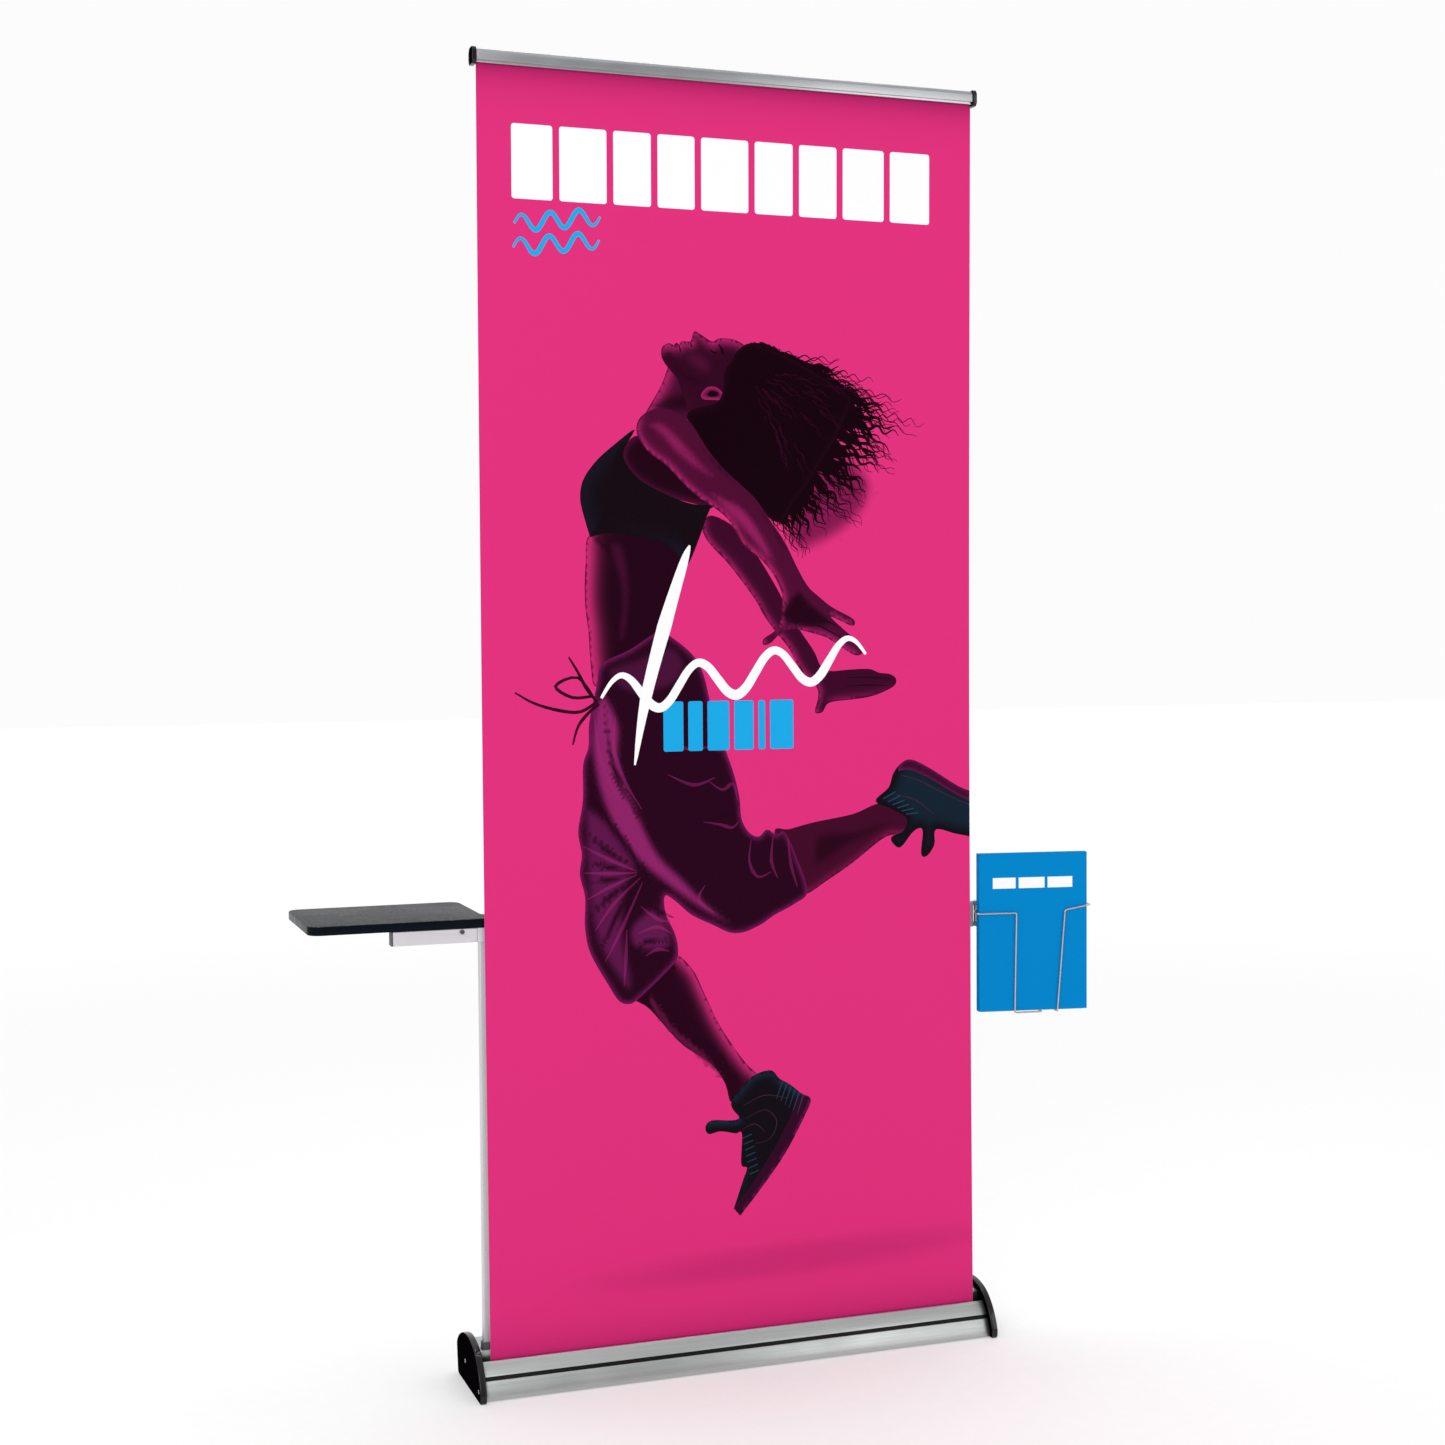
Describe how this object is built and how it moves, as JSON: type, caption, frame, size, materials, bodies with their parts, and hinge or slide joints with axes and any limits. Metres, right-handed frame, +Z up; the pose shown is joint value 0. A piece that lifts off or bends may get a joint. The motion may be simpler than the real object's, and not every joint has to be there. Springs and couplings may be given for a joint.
{
  "type": "roll-up banner stand",
  "caption": "Roll-up banner stand: low domed base with spring roller, telescopic pole, clamp rail, printed banner, side shelf and wire brochure pocket.",
  "frame": {"origin": "on the floor, below the middle of the banner, on the underside of the middle foot strip", "axes": "+X along the banner's width, to the reader's right; +Y away from the reader; +Z up"},
  "size_m": [1.4489, 0.3085, 2.293],
  "materials": {
    "anodised": "satin anodised extrusion",
    "black_strip": "matt black inlay",
    "black_gloss": "gloss black moulding",
    "steel": "bright turned steel",
    "rubber": "soft matt rubber",
    "silver": "satin silver tube",
    "dark_plastic": "dark grey moulding",
    "banner_film": "printed film, soft sheen",
    "grey_plate": "grey plated sheet",
    "shelf_laminate": "dark speckled laminate on board",
    "wire": "bright plated wire",
    "brochure_paper": "satin printed paper"
  },
  "bodies": {
    "base": {"base_tray": "anodised", "front_panel": "anodised", "accent_strip": "black_strip", "rear_cover": "anodised", "end_cap_left": "black_gloss", "end_cap_right": "black_gloss", "axle_screw_left": "steel", "axle_screw_right": "steel", "cap_screw_left": "steel", "cap_screw_right": "steel", "foot_strip_left": "rubber", "foot_strip_centre": "rubber", "foot_strip_right": "rubber", "guide_rod": "steel", "spring_axle": "steel", "stub_axle": "steel", "torsion_spring": "steel", "pole_socket": "dark_plastic", "post_socket_left": "dark_plastic", "post_socket_right": "dark_plastic", "pole_lower_tube": "silver", "banner_lead": "banner_film", "banner_sheet": "banner_film"},
    "roller": {"roller_tube": "silver", "wound_banner": "banner_film", "roller_plug_left": "dark_plastic", "roller_plug_right": "dark_plastic", "spring_hub": "dark_plastic"},
    "lower_lock": {"lower_twist_lock": "black_gloss"},
    "pole_middle": {"pole_middle_tube": "silver"},
    "upper_lock": {"upper_twist_lock": "black_gloss"},
    "rail": {"pole_upper_tube": "silver", "pole_head": "black_gloss", "rail_back": "anodised", "rail_cap_left": "black_gloss", "rail_cap_right": "black_gloss"},
    "rail_jaw": {"rail_front_jaw": "anodised"},
    "shelf_upright": {"shelf_post": "silver", "shelf_bracket": "silver"},
    "shelf": {"shelf_arm": "silver", "arm_end_plug": "dark_plastic", "arm_lock_screw": "dark_plastic", "shelf_top": "shelf_laminate", "shelf_bar_outer": "grey_plate", "shelf_bar_inner": "grey_plate", "shelf_screw_outer_front": "steel", "shelf_screw_outer_rear": "steel", "shelf_screw_inner_front": "steel", "shelf_screw_inner_rear": "steel"},
    "pocket_upright": {"pocket_post": "silver", "pocket_bracket": "grey_plate", "pocket_pivot_pin": "steel"},
    "pocket": {"pocket_knuckle": "wire", "pocket_wire_left": "wire", "pocket_wire_right": "wire", "pocket_wire_back": "wire"},
    "brochures": {"brochures": "brochure_paper"}
  },
  "joints": [
    {"name": "rail_height", "type": "slide", "parent": "base", "child": "rail", "axis": [0, 0, 1], "range_m": [-1.34, 0], "deforming": ["banner_sheet"]},
    {"name": "pole_middle_slide", "type": "slide", "parent": "base", "child": "pole_middle", "axis": [0, 0, 1], "range_m": [-0.67, 0]},
    {"name": "roller_spin", "type": "hinge", "parent": "base", "child": "roller", "pos_m": [0, 0.076, 0.038], "axis": [1, 0, 0], "continuous": true},
    {"name": "lower_lock_twist", "type": "hinge", "parent": "base", "child": "lower_lock", "pos_m": [0, 0.0325, 0.8], "axis": [0, 0, 1], "range_deg": [0, 90]},
    {"name": "upper_lock_twist", "type": "hinge", "parent": "pole_middle", "child": "upper_lock", "pos_m": [0, 0.0325, 1.54], "axis": [0, 0, 1], "range_deg": [0, 90]},
    {"name": "rail_jaw_open", "type": "hinge", "parent": "rail", "child": "rail_jaw", "pos_m": [0, -0.0031, 2.2914], "axis": [1, 0, 0], "range_deg": [-40, 0]},
    {"name": "shelf_post_lift", "type": "slide", "parent": "base", "child": "shelf_upright", "axis": [0, 0, 1], "range_m": [0, 0.05]},
    {"name": "shelf_arm_slide", "type": "slide", "parent": "shelf_upright", "child": "shelf", "axis": [-1, 0, 0], "range_m": [0, 0.03]},
    {"name": "pocket_post_lift", "type": "slide", "parent": "base", "child": "pocket_upright", "axis": [0, 0, 1], "range_m": [0, 0.05]},
    {"name": "pocket_swivel", "type": "hinge", "parent": "pocket_upright", "child": "pocket", "pos_m": [0.4824, 0.0276, 0.782], "axis": [0, 0, 1], "range_deg": [-6, 40]},
    {"name": "brochure_lift", "type": "slide", "parent": "pocket", "child": "brochures", "axis": [0, 0, 1], "range_m": [0, 0.25]}
  ],
  "couplings": [
    {"joint": "pole_middle_slide", "follows": "rail_height", "ratio": 0.5},
    {"joint": "roller_spin", "follows": "rail_height", "rad_per_m": -51.3}
  ]
}
